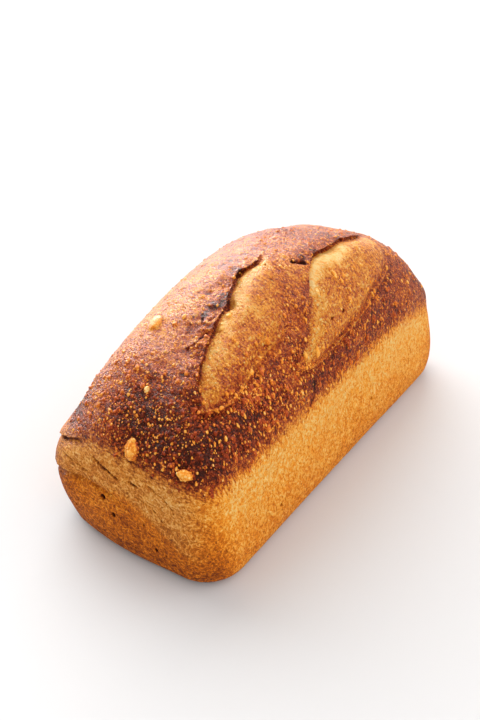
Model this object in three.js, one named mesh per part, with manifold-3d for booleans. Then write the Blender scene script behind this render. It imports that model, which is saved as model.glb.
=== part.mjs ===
// A tin-baked loaf of rustic bread, whole and uncut: straight walls where the dough met the tin,
// a tall domed crust above the rim, two long slashes with lifted ears, a fold across one end and
// a few blisters. Millimetres, +Z up, +Y along the loaf; the origin is under the middle of its base.
import * as THREE from "three";
import { mergeVertices } from "three/addons/utils/BufferGeometryUtils.js";
import Module from "manifold-3d";

// The tin's share of the loaf: its walls, corners and base.
const RIM_WIDTH = 110;
const RIM_LENGTH = 228;
const RIM_HEIGHT = 54;
const BASE_TAPER = 1; // how much further in each wall stands at the base than at the rim
const WALL_SWELL = 3; // how far the walls bow out past that straight taper
const SWELL_AT = 1 / 3; // share of the rim's height where the bow is greatest
const CORNER_RADIUS = 21;
const FOOT_RADIUS = 6; // rounding between the walls and the base

// The free dome above the rim. A fuller side rises more steeply from the rim before it turns over.
const LOAF_HEIGHT = 124;
const CREST_SHIFT = 12; // the crest stands this far towards the slashed side
const ACROSS = { plainSide: 3.4, slashedSide: 2.1, roundness: 1.6 };
const ALONG = { fullness: 2, roundness: 1.65 };

// Hand-shaped dough is never even: long shallow waves run over the whole crust, in directions
// that don't repeat together, and a few broad swells and dents sit where the dough settled.
const LUMP_HEIGHT = 0.9;
const LUMP_LENGTH = 64;
const LUMP_WAVES = [
  { way: [1, 0.4, 0], phase: 1.3 },
  { way: [0, 0.7, -0.5], phase: 0.4 },
  { way: [0.8, -1, 1.4], phase: 2.1 },
];
const SWELLS = [
  { near: [-20, 61, 107], reach: 31, out: -3.4 }, // the crest sags behind the first slash
  { near: [-52, -100, 68], reach: 18, out: -3 }, // a low shoulder at the corner of the rim
  { near: [-50, -112, 40], reach: 21, out: 2.6 }, // dough that bulged over the fold
  { near: [-46, -112, 8], reach: 16, out: -2 }, // the foot of that corner, drawn in
  { near: [-2, -115, 10], reach: 31, out: 2.4 }, // the middle of the same end, pushed out
  { near: [56, 80, 20], reach: 34, out: 0.8 },
];

// How finely the surface is faceted. The lowest rows are the closest, to round the foot.
const CELLS = { across: 20, along: 42, wall: 8, flank: 8 };
const ROW_CROWDING = 1.6;
const FLANK_SHARE = 0.62; // the dome's rows end at this share of its height, where its top begins
const BISECTIONS = 30;
const FACET_TOLERANCE = 0.01; // facets flatter than this are merged

// Seams run from their first point to their last. Across a seam the crust lifts into an ear on one
// side; on the other it falls away and then swells again into the bloom, the paler crumb that
// pushed out. The blade is the opening between them, which cuts in under the ear.
const SLASHES = [
  {
    points: [[6, 1], [4, -18], [10, -38], [17, -60], [24, -78], [31, -87]],
    ear: 2.2,
    earReach: 8,
    bloom: 2.4,
    bloomWidth: 27,
    blade: { width: 3.6, depth: 4, undercut: 2 },
  },
  {
    points: [[18, 80], [20, 52], [24, 21], [33, 4], [44, -14], [48, -34]],
    ear: 2.6,
    earReach: 9,
    bloom: 2.8,
    bloomWidth: 28,
    blade: { width: 4.6, depth: 5.5, undercut: 2.6 },
  },
];

// The fold across the -Y end, where the dough rolled over itself in the tin: (x, z) along it.
const FOLD = {
  points: [[0, 35.5], [-12, 40], [-28, 42.5], [-40, 41], [-50, 38]],
  ear: 1.8,
  earReach: 9,
  bloom: 0,
  bloomWidth: 1,
  blade: { width: 2.4, depth: 4, undercut: 0.6 },
};
const SEAM_STEPS = 26;
const SEAM_END = 0.16; // share of a seam's length over which it fades in and out
const SEAM_SIGHT = 25; // a seam moves only crust that is about this near to its own level
const BLADE_TIP = 0.12; // the blade's size at its two ends, as a share of its full size

// Blisters: where each one sits, its radius and how far it stands out.
const BLISTERS = [
  { near: [4, -110, 70], radius: 4.6, height: 2 },
  { near: [36, -108, 69], radius: 3.6, height: 1.6 },
  { near: [-17, -58, 108], radius: 5.4, height: 1.6 },
  { near: [44, -57, 91], radius: 4, height: 1.4 },
];
const BLISTER_SEGMENTS = [12, 8];
const BLISTER_SINK = 0.35; // share of its height that a blister is set into the crust

const CRUST = { color: 0x9a5428, roughness: 0.62, metalness: 0 };

const { clamp } = THREE.MathUtils;
const centre = new THREE.Vector3(0, 0, RIM_HEIGHT);

// Half the loaf's width or length at a height: the tin's taper, the bow and the rounded foot.
function wallReach(halfAtRim, z) {
  const t = clamp(z / RIM_HEIGHT, 0, 1);
  const steepness = 1 / SWELL_AT - 1;
  const peak = SWELL_AT * (1 - SWELL_AT) ** steepness;
  const swell = (WALL_SWELL * t * (1 - t) ** steepness) / peak;
  const belowFoot = clamp(FOOT_RADIUS - z, 0, FOOT_RADIUS);
  const inset = FOOT_RADIUS - Math.sqrt(FOOT_RADIUS ** 2 - belowFoot ** 2);
  return halfAtRim - BASE_TAPER * (1 - t) + swell - inset;
}

// Signed distance from (x, y) to the loaf's outline at height z, a rounded rectangle.
function outline(x, y, z) {
  const qx = Math.abs(x) - wallReach(RIM_WIDTH / 2, z) + CORNER_RADIUS;
  const qy = Math.abs(y) - wallReach(RIM_LENGTH / 2, z) + CORNER_RADIUS;
  const outside = Math.hypot(Math.max(qx, 0), Math.max(qy, 0));
  return outside + Math.min(Math.max(qx, qy), 0) - CORNER_RADIUS;
}

// The rim's half width at y, which narrows over the rounded corners.
function rimReach(y) {
  const past = clamp(Math.abs(y) - RIM_LENGTH / 2 + CORNER_RADIUS, 0, CORNER_RADIUS);
  return RIM_WIDTH / 2 - CORNER_RADIUS + Math.sqrt(CORNER_RADIUS ** 2 - past ** 2);
}

// Height of the dome over (x, y): one arch along the loaf times one across it.
function domeHeight(x, y) {
  const along = Math.min(Math.abs(y) / (RIM_LENGTH / 2), 1);
  const crown = (1 - along ** ALONG.fullness) ** (1 / ALONG.roundness);
  const reach = rimReach(y);
  const u = clamp(x / reach, -1, 1);
  const fromCrest = u - (CREST_SHIFT * (1 - u * u)) / reach;
  const fullness = fromCrest < 0 ? ACROSS.plainSide : ACROSS.slashedSide;
  const arc = (1 - Math.min(Math.abs(fromCrest), 1) ** fullness) ** (1 / ACROSS.roundness);
  return RIM_HEIGHT + (LOAF_HEIGHT - RIM_HEIGHT) * crown * arc;
}

function isInside(p) {
  return outline(p.x, p.y, p.z) < 0 && (p.z < RIM_HEIGHT || p.z < domeHeight(p.x, p.y));
}

// The last point inside the loaf on the way from one point to another and beyond it.
function surfaceBetween(from, towards, reach) {
  const way = towards.clone().sub(from).normalize();
  let near = 0;
  let far = reach;
  for (let i = 0; i < BISECTIONS; i++) {
    const middle = (near + far) / 2;
    if (isInside(from.clone().addScaledVector(way, middle))) near = middle;
    else far = middle;
  }
  return from.clone().addScaledVector(way, near);
}

function surfaceTowards(target) {
  return surfaceBetween(centre, target, RIM_LENGTH);
}

// Outward direction of the surface at p, from four near neighbours on it.
function normalAt(p) {
  const way = p.clone().sub(centre).normalize();
  const side = new THREE.Vector3(-way.y, way.x, 0).normalize();
  const up = new THREE.Vector3().crossVectors(way, side);
  const a = surfaceTowards(p.clone().add(side)).sub(surfaceTowards(p.clone().sub(side)));
  const b = surfaceTowards(p.clone().add(up)).sub(surfaceTowards(p.clone().sub(up)));
  return a.cross(b).normalize();
}

// A seam as stations on the surface, each with its own frame: along the seam, out of the crust,
// and across from the ear to the bloom.
function stationsAlong(places) {
  const curve = new THREE.CatmullRomCurve3(places);
  const stations = [];
  for (let i = 0; i <= SEAM_STEPS; i++) {
    const t = i / SEAM_STEPS;
    const point = surfaceTowards(curve.getPointAt(t));
    const along = curve.getTangentAt(t);
    const out = normalAt(point);
    const across = new THREE.Vector3().crossVectors(out, along).normalize();
    const fade = THREE.MathUtils.smoothstep(Math.min(t, 1 - t), 0, SEAM_END);
    stations.push({ point, along, out, across, fade });
  }
  return stations;
}

// How far the crust stands out at p because of one seam.
function seamRelief(p, { stations, shape }) {
  let nearest = stations[0];
  for (const station of stations) {
    if (station.point.distanceToSquared(p) < nearest.point.distanceToSquared(p)) nearest = station;
  }
  const off = p.clone().sub(nearest.point);
  const side = off.dot(nearest.across);
  const beyond = off.dot(nearest.along) / shape.earReach;
  const below = off.dot(nearest.out) / SEAM_SIGHT;
  const fade = nearest.fade * Math.exp(-(beyond ** 2) - below ** 2);
  const fromEar = side + shape.earReach / 2;
  const ear = shape.ear * Math.exp(-((fromEar / shape.earReach) ** 2));
  const bloom = shape.bloom * Math.sin(Math.PI * clamp(side / shape.bloomWidth, 0, 1)) ** 2;
  return (ear + bloom) * fade;
}

// The unevenness of the crust at p: the waves, which fade out towards the base, and the swells.
function lumps(p) {
  let waves = 0;
  for (const { way, phase } of LUMP_WAVES) {
    waves += Math.sin((2 * Math.PI * p.dot(new THREE.Vector3(...way))) / LUMP_LENGTH + phase);
  }
  let standsOut = (LUMP_HEIGHT / 2) * waves * clamp(p.z / RIM_HEIGHT, 0, 1);
  for (const { near, reach, out } of SWELLS) {
    const away = p.distanceTo(new THREE.Vector3(...near)) / reach;
    standsOut += out * Math.exp(-(away ** 2));
  }
  return standsOut;
}

// The surface starts as a box of cells. On the walls a corner of a cell slides straight out to
// the outline, on the dome it slides out from the middle of the rim, and then both take on the
// crust's relief. The base stays flat.
function crustGeometry(seams) {
  const rows = CELLS.wall + CELLS.flank;
  const box = new THREE.BoxGeometry(2, 2, 2, CELLS.across, CELLS.along, rows);
  box.deleteAttribute("normal");
  box.deleteAttribute("uv");
  const geometry = mergeVertices(box);
  const place = geometry.attributes.position;
  const cell = new THREE.Vector3();
  for (let i = 0; i < place.count; i++) {
    cell.fromBufferAttribute(place, i);
    const row = Math.round(((cell.z + 1) / 2) * rows);
    const found = row < CELLS.wall ? wallPoint(cell, row) : domePoint(cell, row);
    if (row > 0) {
      let standsOut = lumps(found);
      for (const seam of seams) standsOut += seamRelief(found, seam);
      found.addScaledVector(normalAt(found), standsOut);
    }
    place.setXYZ(i, found.x, found.y, found.z);
  }
  return geometry;
}

function wallPoint(cell, row) {
  const z = RIM_HEIGHT * (row / CELLS.wall) ** ROW_CROWDING;
  const axis = new THREE.Vector3(0, 0, z);
  const target = new THREE.Vector3((cell.x * RIM_WIDTH) / 2, (cell.y * RIM_LENGTH) / 2, z);
  if (target.distanceToSquared(axis) === 0) return axis;
  const outlinePoint = surfaceBetween(axis, target, RIM_LENGTH);
  return axis.lerp(outlinePoint, Math.max(Math.abs(cell.x), Math.abs(cell.y)));
}

function domePoint(cell, row) {
  const share = (FLANK_SHARE * (row - CELLS.wall)) / CELLS.flank;
  const z = RIM_HEIGHT + share * (LOAF_HEIGHT - RIM_HEIGHT);
  return surfaceTowards(new THREE.Vector3((cell.x * RIM_WIDTH) / 2, (cell.y * RIM_LENGTH) / 2, z));
}

const wasm = await Module();
wasm.setup();

function solidOf(geometry) {
  geometry.deleteAttribute("normal");
  geometry.deleteAttribute("uv");
  const merged = mergeVertices(geometry, 1e-4);
  const mesh = new wasm.Mesh({
    numProp: 3,
    vertProperties: merged.attributes.position.array,
    triVerts: new Uint32Array(merged.index.array),
  });
  return new wasm.Manifold(mesh);
}

function geometryOf(solid) {
  const mesh = solid.getMesh();
  const geometry = new THREE.BufferGeometry();
  geometry.setAttribute("position", new THREE.BufferAttribute(mesh.vertProperties, 3));
  geometry.setIndex(new THREE.BufferAttribute(mesh.triVerts, 1));
  geometry.computeVertexNormals();
  return geometry;
}

// The blade that opens a seam: a three-sided bar along it, which tapers to both ends.
function bladeSolid({ stations, shape }) {
  const { width, depth, undercut } = shape.blade;
  const above = 2 * (shape.ear + LUMP_HEIGHT);
  const corners = [];
  for (const { point, out, across, fade } of stations) {
    const size = BLADE_TIP + (1 - BLADE_TIP) * fade;
    const corner = (sideways, outwards) =>
      point.clone().addScaledVector(across, sideways).addScaledVector(out, outwards);
    corners.push(corner(0, above));
    corners.push(corner(width * size, above));
    corners.push(corner(-undercut * size, -depth * size));
  }
  const faces = [];
  for (let i = 0; i < SEAM_STEPS; i++) {
    for (let j = 0; j < 3; j++) {
      const a = 3 * i + j;
      const b = 3 * i + ((j + 1) % 3);
      faces.push(a, a + 3, b, b, a + 3, b + 3);
    }
  }
  const last = 3 * SEAM_STEPS;
  faces.push(0, 1, 2, last, last + 2, last + 1);
  const geometry = new THREE.BufferGeometry().setFromPoints(corners);
  geometry.setIndex(faces);
  return solidOf(geometry);
}

function blisterSolid({ near, radius, height }) {
  const place = surfaceTowards(new THREE.Vector3(...near));
  const out = normalAt(place);
  place.addScaledVector(out, lumps(place) - BLISTER_SINK * height);
  const geometry = new THREE.SphereGeometry(radius, ...BLISTER_SEGMENTS);
  geometry.rotateX(Math.PI / 2);
  geometry.scale(1, 1, (height * (1 + BLISTER_SINK)) / radius);
  const turn = new THREE.Quaternion().setFromUnitVectors(new THREE.Vector3(0, 0, 1), out);
  geometry.applyQuaternion(turn);
  geometry.translate(place.x, place.y, place.z);
  return solidOf(geometry);
}

function slashSeam(shape) {
  const places = shape.points.map(([x, y]) => new THREE.Vector3(x, y, domeHeight(x, y)));
  return { shape, stations: stationsAlong(places) };
}

function foldSeam(shape) {
  const onEnd = ([x, z]) => surfaceTowards(new THREE.Vector3(x, -RIM_LENGTH / 2, z));
  return { shape, stations: stationsAlong(shape.points.map(onEnd)) };
}

const seams = [...SLASHES.map(slashSeam), foldSeam(FOLD)];

let loaf = solidOf(crustGeometry(seams));
for (const seam of seams) loaf = loaf.subtract(bladeSolid(seam));
for (const blister of BLISTERS) loaf = loaf.add(blisterSolid(blister));
loaf = loaf.simplify(FACET_TOLERANCE);

// The uneven crust is a little off the middle of its own box, so it is set back over the origin.
const geometry = geometryOf(loaf);
geometry.computeBoundingBox();
const middle = geometry.boundingBox.getCenter(new THREE.Vector3());
geometry.translate(-middle.x, -middle.y, 0);

const mesh = new THREE.Mesh(geometry, new THREE.MeshStandardMaterial(CRUST));
mesh.name = "loaf";
const group = new THREE.Group();
group.add(mesh);
export default group;
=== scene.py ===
"""A whole tin-baked loaf of rustic bread, remade finely in the place of the CAD loaf.

The form has the CAD part's named sizes, in millimetres. A fine mesh is laid on it, and slashes,
cracks, pits, blisters and wrinkles are pressed into that. Each vertex carries how browned and how
smooth the bread is there, which the material reads. Small beads of crust are a second mesh.
"""

import bpy
import numpy as np
from mathutils import Matrix, Vector


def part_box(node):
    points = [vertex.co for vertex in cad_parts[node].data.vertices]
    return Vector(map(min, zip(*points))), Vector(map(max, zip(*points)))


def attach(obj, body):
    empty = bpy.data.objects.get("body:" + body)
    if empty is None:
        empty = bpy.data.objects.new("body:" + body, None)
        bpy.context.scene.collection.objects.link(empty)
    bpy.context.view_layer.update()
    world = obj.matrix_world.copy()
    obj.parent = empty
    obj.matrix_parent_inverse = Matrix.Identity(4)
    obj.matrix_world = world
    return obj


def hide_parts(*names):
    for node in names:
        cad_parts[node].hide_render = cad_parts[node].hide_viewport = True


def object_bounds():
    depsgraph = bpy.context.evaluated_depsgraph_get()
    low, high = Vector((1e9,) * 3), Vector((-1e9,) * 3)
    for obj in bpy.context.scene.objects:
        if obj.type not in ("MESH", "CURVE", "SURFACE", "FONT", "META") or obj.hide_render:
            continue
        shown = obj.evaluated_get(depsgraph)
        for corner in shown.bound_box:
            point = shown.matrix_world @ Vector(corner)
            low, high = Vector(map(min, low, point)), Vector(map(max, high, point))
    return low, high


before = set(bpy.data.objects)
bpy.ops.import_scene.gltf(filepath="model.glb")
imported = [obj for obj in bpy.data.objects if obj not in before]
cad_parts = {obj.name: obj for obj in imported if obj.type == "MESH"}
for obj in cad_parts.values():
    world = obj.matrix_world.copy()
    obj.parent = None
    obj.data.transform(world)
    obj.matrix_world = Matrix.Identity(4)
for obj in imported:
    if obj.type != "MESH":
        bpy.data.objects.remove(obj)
cad_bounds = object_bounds()
MM = 0.001

# -------- steps, hills and repeatable noise

def smooth(low, high, value):
    """0 up to low, 1 from high, and a smooth rise between. low may be the larger."""
    t = np.clip((value - low) / (high - low), 0, 1)
    return t * t * (3 - 2 * t)


def unit(vectors):
    return vectors / np.maximum(np.linalg.norm(vectors, axis=1, keepdims=True), 1e-12)


def hill(distance, reach):
    """1 at distance 0, about a third at reach and almost 0 past twice reach."""
    return np.exp(-((distance / reach) ** 2))


def around(points, place, reach):
    """The same by the distance from a place."""
    return np.exp(-((points - place) ** 2).sum(1) / reach**2)


def toward(value, goal, share):
    return value + (goal - value) * share


def random_of(cells, seed):
    """One fixed random value from -1 to 1 for each whole-numbered cell."""
    mask = 0xFFFFFFFF
    mixed = (cells[..., 0] * 73856093) ^ (cells[..., 1] * 19349663) ^ (cells[..., 2] * 83492791)
    mixed = (mixed ^ (seed * 2654435761)) & mask
    mixed = ((mixed ^ (mixed >> 15)) * 0x85EBCA6B) & mask
    mixed = ((mixed ^ (mixed >> 13)) * 0xC2B2AE35) & mask
    return (mixed ^ (mixed >> 16)) / 2**31 - 1


def noise(points, size, seed):
    """Smooth noise from -1 to 1, its features about size, which may differ by axis."""
    q = points / size
    cell = np.floor(q).astype(np.int64)
    t = q - cell
    t = t * t * (3 - 2 * t)
    total = 0
    for corner in np.ndindex(2, 2, 2):
        weight = np.where(corner, t, 1 - t).prod(axis=-1)
        total = total + weight * random_of(cell + corner, seed)
    return total


def rough(points, size, seed, octaves=3):
    """Noise with finer, weaker copies added."""
    size = np.asarray(size, float)
    layers = [noise(points, size / 2**i, seed + i) / 2**i for i in range(octaves)]
    return sum(layers) / sum(0.5**i for i in range(octaves))


# -------- the loaf's form, in millimetres

RIM_WIDTH, RIM_LENGTH, RIM_HEIGHT = 110.0, 228.0, 54.0
BASE_TAPER, WALL_SWELL, SWELL_AT = 1.0, 3.0, 1 / 3
CORNER_RADIUS, FOOT_RADIUS = 21.0, 6.0
LOAF_HEIGHT, CREST_SHIFT = 124.0, 12.0
PLAIN_SIDE, SLASHED_SIDE, ACROSS_ROUNDNESS = 3.4, 2.1, 1.6
ALONG_FULLNESS, ALONG_ROUNDNESS = 2.0, 1.65
CENTRE = np.array([0.0, 0.0, RIM_HEIGHT])
SETTLE_STEPS = 28

# Long shallow waves, and broad swells and dents: place, reach, height.
LUMP_HEIGHT, LUMP_LENGTH = 0.9, 64.0
LUMP_WAVES = [((1, 0.4, 0), 1.3), ((0, 0.7, -0.5), 0.4), ((0.8, -1, 1.4), 2.1)]
SWELLS = [
    ((-20, 61, 107), 31, -3.4),
    ((-52, -100, 68), 18, -3.0),
    ((-50, -112, 40), 21, 2.6),
    ((-46, -112, 8), 16, -2.0),
    ((-2, -115, 10), 31, 2.4),
    ((56, 80, 20), 34, 0.8),
]


def wall_reach(half_at_rim, z):
    """Half the width or length at height z, with taper, bow and rounded foot."""
    t = np.clip(z / RIM_HEIGHT, 0, 1)
    steepness = 1 / SWELL_AT - 1
    peak = SWELL_AT * (1 - SWELL_AT) ** steepness
    swell = WALL_SWELL * t * (1 - t) ** steepness / peak
    below_foot = np.clip(FOOT_RADIUS - z, 0, FOOT_RADIUS)
    inset = FOOT_RADIUS - np.sqrt(FOOT_RADIUS**2 - below_foot**2)
    return half_at_rim - BASE_TAPER * (1 - t) + swell - inset


def outline(x, y, z):
    """Signed distance to the loaf's outline at height z, a rounded rectangle."""
    qx = np.abs(x) - wall_reach(RIM_WIDTH / 2, z) + CORNER_RADIUS
    qy = np.abs(y) - wall_reach(RIM_LENGTH / 2, z) + CORNER_RADIUS
    outside = np.hypot(np.maximum(qx, 0), np.maximum(qy, 0))
    return outside + np.minimum(np.maximum(qx, qy), 0) - CORNER_RADIUS


def dome_height(x, y):
    """The dome's height: one arch along the loaf times one across it."""
    along = np.minimum(np.abs(y) / (RIM_LENGTH / 2), 1)
    crown = (1 - along**ALONG_FULLNESS) ** (1 / ALONG_ROUNDNESS)
    past = np.clip(np.abs(y) - RIM_LENGTH / 2 + CORNER_RADIUS, 0, CORNER_RADIUS)
    reach = RIM_WIDTH / 2 - CORNER_RADIUS + np.sqrt(CORNER_RADIUS**2 - past**2)
    u = np.clip(x / reach, -1, 1)
    from_crest = u - CREST_SHIFT * (1 - u * u) / reach
    fullness = np.where(from_crest < 0, PLAIN_SIDE, SLASHED_SIDE)
    arc = (1 - np.minimum(np.abs(from_crest), 1) ** fullness) ** (1 / ACROSS_ROUNDNESS)
    return RIM_HEIGHT + (LOAF_HEIGHT - RIM_HEIGHT) * crown * arc


def settle(points):
    """Moves points onto the form, level below the rim and straight out from CENTRE above it."""
    start = np.zeros_like(points)
    start[:, 2] = np.minimum(points[:, 2], RIM_HEIGHT)
    way = unit(points - start)
    near = np.zeros(len(points))
    far = np.full(len(points), RIM_LENGTH)
    for _ in range(SETTLE_STEPS):
        middle = (near + far) / 2
        x, y, z = (start + way * middle[:, None]).T
        inside = (outline(x, y, z) < 0) & ((z < RIM_HEIGHT) | (z < dome_height(x, y)))
        near = np.where(inside, middle, near)
        far = np.where(inside, far, middle)
    return start + way * near[:, None]


def face_normals(points, tris):
    """Each face's normal, as long as twice its area."""
    first, second, third = points[tris].transpose(1, 0, 2)
    return np.cross(second - first, third - first)


def vertex_normals(points, tris):
    face = face_normals(points, tris)
    total = np.zeros_like(points)
    for axis, corner in np.ndindex(3, 3):
        total[:, axis] += np.bincount(tris[:, corner], face[:, axis], len(points))
    return unit(total)


# -------- lines and spots on the crust

# Each slash runs towards -Y. On its -X side the crust lifts into an ear that leans over the opening,
# and on its +X side the crumb has bloomed out to the lip. ear and lip are points seen from above.
# The lip shows and the crumb by the ear is pale over the runs lip_shows and cream, and gapes are
# where it gapes wider: run, width and how much.
SLASHES = [
    dict(
        ear=[(7, 1), (7.6, -10), (6, -20), (9.5, -30), (13, -40), (15.5, -51), (18, -60), (21, -70),
             (26, -79.5), (31, -85.5)],
        lip=[(31.5, -86.5), (38, -79), (40.4, -70), (40, -57), (39.6, -45), (39.7, -30), (34, -18),
             (24, -8), (13, 0)],
        lip_shows=(0, 62), cream=(0, 200), pale=0.36,
        height=1.9, reach=8, lean=1.2, depth=2.0, gape=1.0, bloom=2.6,
        gapes=[(8, 7, 1.0), (24, 7, 0.7), (42, 5, 1.1), (60, 5, 0.5)], seed=11,
    ),
    dict(
        ear=[(20, 78), (23.5, 62), (23, 49), (24.4, 38), (23.8, 25), (27, 14), (33, 4), (39, -6),
             (45, -17), (48, -30)],
        lip=[(48.6, -30), (50.6, -15), (50.4, 2), (50, 17), (49, 33), (47, 45), (45, 60), (42, 70),
             (36, 78), (27, 80)],
        lip_shows=(0, 105), cream=(30, 84), pale=1.0,
        height=1.9, reach=9, lean=1.3, depth=1.6, gape=1.0, bloom=3.0,
        gapes=[(40, 8, 0.7), (55, 6, 1.3)], seed=18,
    ),
]
# Folds on the -Y end and around its corner, where dough bulges over the dough below.
FOLDS = [
    dict(
        edge=[(6, -117, 37), (-3, -117, 41.5), (-12, -117, 44.5), (-28, -117, 45.3), (-40, -115, 43.5),
              (-50, -109, 41), (-55, -101, 39.5), (-57, -88, 38.5)],
        height=1.5, reach=8, lean=1.1, depth=2.4, gape=1.6,
        gapes=[(60, 22, 0.7), (22, 18, 0.5)], seed=41,
    ),
    dict(
        edge=[(-26, -113, 65), (-36, -112, 62), (-45, -108, 58), (-52, -103, 54), (-55, -95, 52)],
        height=0.8, reach=5, lean=0.6, depth=1.6, gape=1.5, seed=48,
    ),
]
STATION = 0.8
AT_ONCE = 40000

# Cracks: points near the crust, half width and depth.
CRACKS = [
    ([(-18, -115, 59.5), (-12, -115, 57.5), (-7.6, -115, 56), (-2, -115, 54)], 0.55, 1.5),
    ([(5.8, -115, 55.6), (10.5, -115, 54.4)], 0.5, 1.2),
    ([(-40, -115, 52), (-30, -115, 51), (-22, -115, 49.6)], 0.35, 0.7),
    ([(10, -115, 47), (20, -115, 44), (27, -115, 38)], 0.35, 0.7),
    ([(18, -115, 58), (27, -115, 54), (33, -115, 50)], 0.35, 0.6),
    ([(8, -53, 118), (10.5, -54.3, 115), (14, -48.5, 117)], 0.5, 0.8),
    ([(10.5, -67, 108), (13.5, -63, 110), (15, -58, 113)], 0.5, 0.8),
    ([(23.2, 5.8, 123), (25.6, 8.0, 122), (27.4, 10.4, 120)], 1.0, 2.6),
    ([(52.3, -20, 75), (53.2, -22, 67), (54, -27, 63), (54, -31, 58)], 0.8, 0.45),
]
# Pits: place, radius and depth.
PITS = [
    ((-14, -116, 36), 1.5, 2.6), ((-7, -116.5, 28), 1.2, 2.2), ((32, -113, 48), 0.6, 1.2),
    ((13, -116, 31), 0.6, 1.2), ((-26, -116, 33), 0.5, 1.0), ((6, -116, 12), 0.6, 1.0),
    ((-35, -115, 20), 0.5, 1.0), ((26, -116, 17), 0.6, 1.0), ((56, -88, 30), 0.6, 1.0),
    ((15.3, -7.1, 125), 0.6, 0.8), ((23.1, -13.8, 122), 0.8, 0.6), ((13.8, -27.2, 122.8), 0.5, 0.8),
    ((47.3, 4.1, 97.6), 0.9, 1.2), ((46.3, 14.6, 95), 0.9, 1.2), ((-32, -115, 25), 0.6, 1.0),
    ((20, -115.5, 18), 1.0, 1.3), ((57, -60, 22), 0.9, 1.2), ((57, 30, 30), 1.0, 1.2),
]
# Blisters: place, half width, half height along the slope, how far they stand out and how pale.
BLISTERS = [
    ((0.6, -88.7, 93.8), 2.4, 1.6, 1.0, 1.6), ((4.3, -108.5, 71.4), 3.8, 6.0, 2.0, 0.75),
    ((36.8, -107.7, 69.6), 4.0, 2.8, 1.3, 0.85), ((-17, -57.5, 108), 5.0, 3.6, 1.4, 0.55),
    ((-36, 20, 110), 4.2, 3.2, 1.2, 0.4), ((-30, 84, 92), 3.8, 3.0, 1.1, 0.4),
    ((-48, -30, 92), 3.4, 2.8, 1.0, 0.5), ((20, 104, 82), 4.0, 3.0, 1.2, 0.5),
]


def curve_through(places):
    """Points every STATION along a Catmull-Rom curve through some places."""
    ends = [2 * places[0] - places[1], *places, 2 * places[-1] - places[-2]]
    spans = []
    for a, b, c, d in zip(ends, ends[1:], ends[2:], ends[3:]):
        t = np.linspace(0, 1, 24, endpoint=False)[:, None]
        spans.append(b + t * (c - a) / 2 + t**2 * (a - 2.5 * b + 2 * c - d / 2)
                     + t**3 * (1.5 * (b - c) + (d - a) / 2))
    fine = np.vstack([*spans, places[-1:]])
    run = np.append(0, np.cumsum(np.linalg.norm(np.diff(fine, axis=0), axis=1)))
    even = np.arange(0, run[-1], STATION)
    return np.column_stack([np.interp(even, run, values) for values in fine.T])


def form_normals(points):
    """The form's outward directions, from four neighbours of each point."""
    away = unit(points - CENTRE)
    side = unit(np.cross([0, 0, 1], away))
    up = np.cross(away, side)
    across = settle(points + side) - settle(points - side)
    along = settle(points + up) - settle(points - up)
    return unit(np.cross(across, along))


def stations_through(places):
    """A line laid on the form, with its own directions at each station."""
    point = settle(curve_through(np.array(places, float)))
    along = unit(np.gradient(point, axis=0))
    out = form_normals(point)
    across = unit(np.cross(out, along))
    step = np.linalg.norm(np.diff(point, axis=0), axis=1)
    return dict(point=point, along=along, out=out, across=across, run=np.append(0, np.cumsum(step)))


def on_dome(places):
    return [(x, y, float(dome_height(np.float64(x), np.float64(y)))) for x, y in places]


def nearest_station(points, line, reach):
    """Distance to a line's nearest station, infinite far beyond reach, and which one it is."""
    stations = line["point"]
    distance = np.full(len(points), np.inf)
    index = np.zeros(len(points), int)
    low, high = stations.min(0) - reach, stations.max(0) + reach
    close = np.flatnonzero(((points > low) & (points < high)).all(axis=1))
    for part in np.array_split(close, len(close) // AT_ONCE + 1):
        p = points[part]
        squared = (p**2).sum(1)[:, None] - 2 * p @ stations.T + (stations**2).sum(1)
        index[part] = squared.argmin(axis=1)
        distance[part] = np.sqrt(np.maximum(squared.min(axis=1), 0))
    return distance, index


def seam_frame(points, line, reach):
    """The points near a seam: which, the station of each, and how far across, along and off it."""
    distance, index = nearest_station(points, line, reach)
    near = np.flatnonzero(distance < reach)
    i = index[near]
    off = points[near] - line["point"][i]
    side = (off * line["across"][i]).sum(1)
    beyond = (off * line["along"][i]).sum(1)
    level = (off * line["out"][i]).sum(1)
    return near, i, side, line["run"][i] + beyond, level


def inside_loop(points, loop):
    inside = np.zeros(len(points), bool)
    for (x0, y0), (x1, y1) in zip(loop, np.roll(loop, -1, axis=0)):
        if y0 == y1:
            continue
        crosses = (points[:, 1] > min(y0, y1)) & (points[:, 1] <= max(y0, y1))
        at = x0 + (points[:, 1] - y0) * (x1 - x0) / (y1 - y0)
        inside ^= crosses & (points[:, 0] < at)
    return inside


for slash in SLASHES:
    slash["line"] = stations_through(on_dome(slash["ear"]))
    slash["lip_line"] = stations_through(on_dome(slash["lip"]))
    slash["loop"] = np.vstack([slash["line"]["point"], slash["lip_line"]["point"]])[:, :2]
for fold in FOLDS:
    fold["line"] = stations_through(fold["edge"])
crack_lines = [(stations_through(places), *sizes) for places, *sizes in CRACKS]
pits, blisters = (
    [(settle(np.array([place], float))[0], *sizes) for place, *sizes in spots] for spots in (PITS, BLISTERS)
)


# -------- the fine mesh

CELLS_ACROSS, CELLS_ALONG, CELLS_WALL, CELLS_FLANK = 88, 180, 40, 36
FLANK_SHARE = 0.62
# The longest edges: on open crust, near each kind of line as reach and edge, and on pits and
# blisters, where the reach and a pit's edge go by their size.
EDGE_COARSE = 2.05
FINE_ZONES = dict(slash=[(2.6, 0.6), (6, 1.1)], fold=[(2.2, 0.7)], lip=[(1.6, 0.9)], crack=[(1.5, 0.6)])
PIT_ZONE, PIT_EDGE_SHARE = 2.2, 0.45
BLISTER_ZONE, BLISTER_EDGE = 1.3, 0.8
SPLIT_PASSES = 4


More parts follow.
